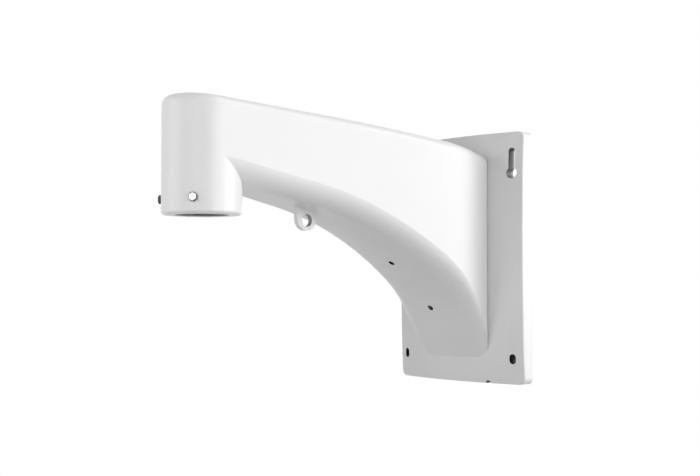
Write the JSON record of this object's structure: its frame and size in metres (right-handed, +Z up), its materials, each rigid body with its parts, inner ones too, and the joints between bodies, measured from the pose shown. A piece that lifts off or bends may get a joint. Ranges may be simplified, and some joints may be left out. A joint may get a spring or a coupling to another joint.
{
  "type": "camera wall bracket",
  "caption": "White cast wall bracket for a pendant camera: slotted wall plate, hollow arm for the cable, threaded collar facing down and a cord eyelet.",
  "frame": {"origin": "on the axis of the collar's thread, just inside the mouth, where the full thread begins", "axes": "+X across the wall, +Y into the wall, +Z up"},
  "size_m": [0.165, 0.342, 0.2462],
  "materials": {
    "white_paint": "fine textured satin powder coat",
    "screw_steel": "dark, with a worn face"
  },
  "bodies": {
    "root": {"bracket_casting": "white_paint", "collar_lock_screws": "screw_steel"}
  },
  "joints": []
}
